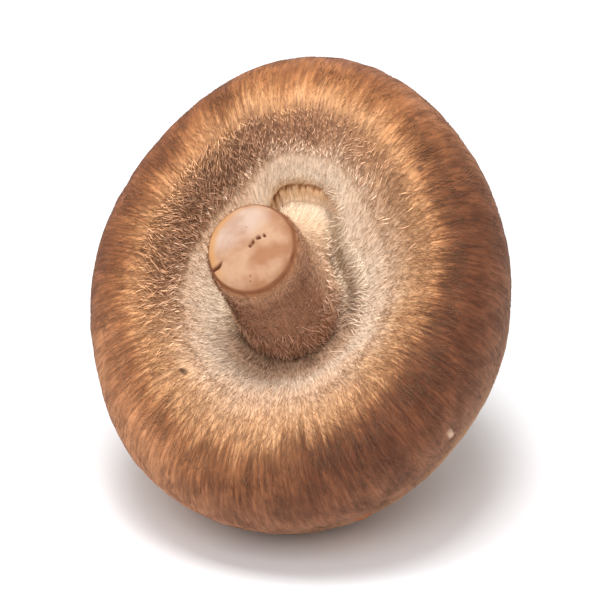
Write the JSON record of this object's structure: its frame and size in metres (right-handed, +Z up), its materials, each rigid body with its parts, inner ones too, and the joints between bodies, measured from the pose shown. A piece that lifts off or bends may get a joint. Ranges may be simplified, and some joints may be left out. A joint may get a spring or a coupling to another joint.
{
  "type": "shiitake mushroom",
  "caption": "Fresh shiitake mushroom picked young, cap edge rolled under round a short cut stem, lying on its dome with the stem up.",
  "frame": {"origin": "middle of the bounding box at its bottom, on the surface that the mushroom lies on", "axes": "+Z up from the surface; the stem's cut end faces -Y and up, turned a little towards -X; the dome's apex is behind and below"},
  "size_m": [0.0546, 0.056, 0.0544],
  "materials": {
    "mushroom": "matt skin with fine radial hairs"
  },
  "bodies": {
    "root": {"mushroom": "mushroom"}
  },
  "joints": []
}
